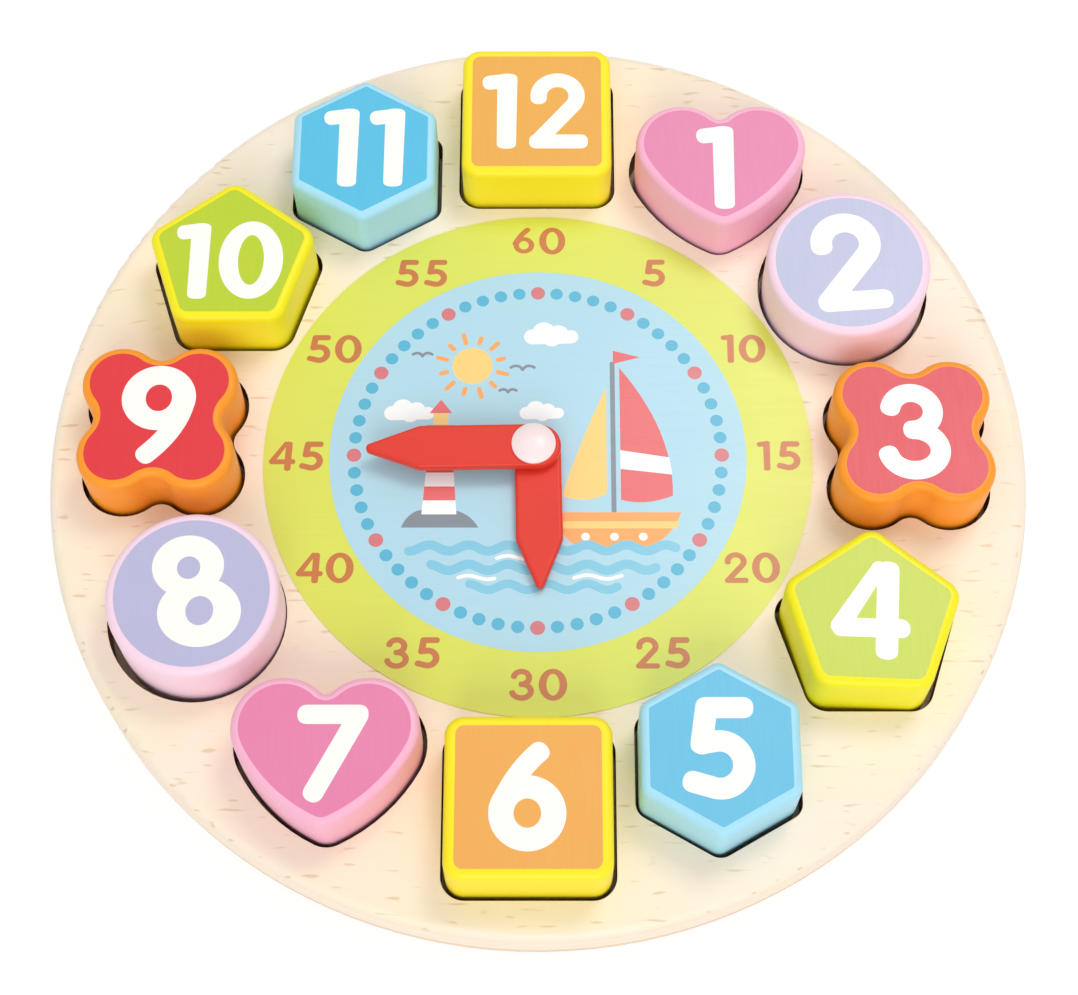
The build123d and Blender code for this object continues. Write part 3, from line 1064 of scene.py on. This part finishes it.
class CLOCK_OT_studio(bpy.types.Operator):
    """Sets up the floor, the lights and the camera"""

    bl_idname = "clock_toy.studio"
    bl_label = "Studio"

    def execute(self, context):
        scene = context.scene
        studio = scene.clock_studio
        self.camera(scene, studio)
        self.floor(studio)
        for name, (place, width) in SOFTBOXES.items():
            self.softbox(f"{name}_softbox", place, width, getattr(studio, name))
        self.world(scene, studio)
        scene.view_settings.view_transform = "Standard"
        return {"FINISHED"}

    @staticmethod
    def camera(scene, studio):
        lens = bpy.data.cameras.new("studio_camera")
        lens.sensor_width = SENSOR_WIDTH
        lens.lens = studio.focal_pixels / PHOTO_WIDTH * SENSOR_WIDTH
        lens.clip_start = 0.01
        camera = bpy.data.objects.new("studio_camera", lens)
        scene.collection.objects.link(camera)
        back = Vector(
            (
                math.sin(studio.azimuth) * math.cos(studio.elevation),
                -math.cos(studio.azimuth) * math.cos(studio.elevation),
                math.sin(studio.elevation),
            )
        )
        right = Vector((0, 0, 1)).cross(back).normalized()
        up = back.cross(right)
        tilted_right = right * math.cos(studio.roll) + up * math.sin(studio.roll)
        tilted_up = up * math.cos(studio.roll) - right * math.sin(studio.roll)
        aim = Vector((studio.aim_x, studio.aim_y, BOARD_TOP))
        pose = Matrix((tilted_right, tilted_up, back)).transposed().to_4x4()
        pose.translation = aim + back * studio.distance
        camera.matrix_world = pose
        scene.camera = camera

    @staticmethod
    def floor(studio):
        mesh = bpy.data.meshes.new("floor")
        corners = ((-1, -1), (1, -1), (1, 1), (-1, 1))
        mesh.from_pydata([(x * FLOOR_HALF, y * FLOOR_HALF, BACK - FLOOR_GAP) for x, y in corners], [], [(0, 1, 2, 3)])
        shader = Shader("white_floor", Roughness=0.7, Specular_IOR_Level=0.1)
        weave = shader.noise(shader.place(), scale=60.0)
        shader.set(Base_Color=shader.mix(shader.band(weave, 0.3, 0.7), srgb(246, 246, 246), srgb(243, 243, 243)))
        glow = shader.node("ShaderNodeEmission", inputs={"Color": (1, 1, 1, 1), "Strength": FLOOR_WHITE})
        share_white = shader.white_rays() * studio.floor_glow
        mixed = shader.node(
            "ShaderNodeMixShader", inputs={0: share_white, 1: Socket(shader, shader.surface.outputs[0]), 2: glow}
        )
        output = shader.tree.nodes["Material Output"]
        shader.tree.links.new(mixed.output, output.inputs["Surface"])
        mesh.materials.append(shader.material)
        floor = bpy.data.objects.new("floor", mesh)
        bpy.context.scene.collection.objects.link(floor)

    @staticmethod
    def softbox(name, place, width, level):
        """A square soft light aimed at the dial. level is the light it puts on the board, 1 being full."""
        lamp = bpy.data.lights.new(name, "AREA")
        lamp.shape = "SQUARE"
        lamp.size = width
        tilt = place.normalized().z
        lamp.energy = level * math.pi * math.pi * place.length_squared / tilt
        light = bpy.data.objects.new(name, lamp)
        light.location = place
        light.rotation_euler = place.to_track_quat("Z", "Y").to_euler()
        bpy.context.scene.collection.objects.link(light)

    @staticmethod
    def world(scene, studio):
        world = bpy.data.worlds.new("white_room")
        world.use_nodes = True
        nodes = Nodes(world.node_tree)
        background = nodes.tree.nodes["Background"]
        level = nodes.white_rays() * (1.0 - studio.ambient) + studio.ambient
        nodes.feed(background.inputs["Strength"], level)
        nodes.feed(background.inputs["Color"], (1, 1, 1, 1))
        scene.world = world


OPERATORS = (
    CLOCK_OT_board,
    CLOCK_OT_dial,
    CLOCK_OT_blocks,
    CLOCK_OT_hands,
    CLOCK_OT_pivot,
    CLOCK_OT_studio,
)


class CLOCK_PT_sidebar(bpy.types.Panel):
    """Lists the clock's finishes and settings"""

    bl_idname = "CLOCK_PT_sidebar"
    bl_label = "Learning Clock"
    bl_space_type = "VIEW_3D"
    bl_region_type = "UI"
    bl_category = "Clock"

    def draw(self, context):
        column = self.layout.column()
        for operator in OPERATORS:
            column.operator(operator.bl_idname)
        for group in (context.scene.clock_sizes, context.scene.clock_colours, context.scene.clock_studio):
            column.separator()
            for name in group.bl_rna.properties.keys():
                if name not in ("rna_type", "name"):
                    column.prop(group, name)


GROUPS = {"clock_sizes": ClockPrintSizes, "clock_colours": ClockColours, "clock_studio": ClockStudio}


def register():
    for name, group in GROUPS.items():
        bpy.utils.register_class(group)
        setattr(bpy.types.Scene, name, PointerProperty(type=group))
    for operator in OPERATORS:
        bpy.utils.register_class(operator)
    bpy.utils.register_class(CLOCK_PT_sidebar)


def unregister():
    bpy.utils.unregister_class(CLOCK_PT_sidebar)
    for operator in reversed(OPERATORS):
        bpy.utils.unregister_class(operator)
    for name, group in GROUPS.items():
        delattr(bpy.types.Scene, name)
        bpy.utils.unregister_class(group)


def main():
    register()
    for operator in OPERATORS:
        group, name = operator.bl_idname.split(".")
        getattr(getattr(bpy.ops, group), name)()


if __name__ == "__main__":
    main()
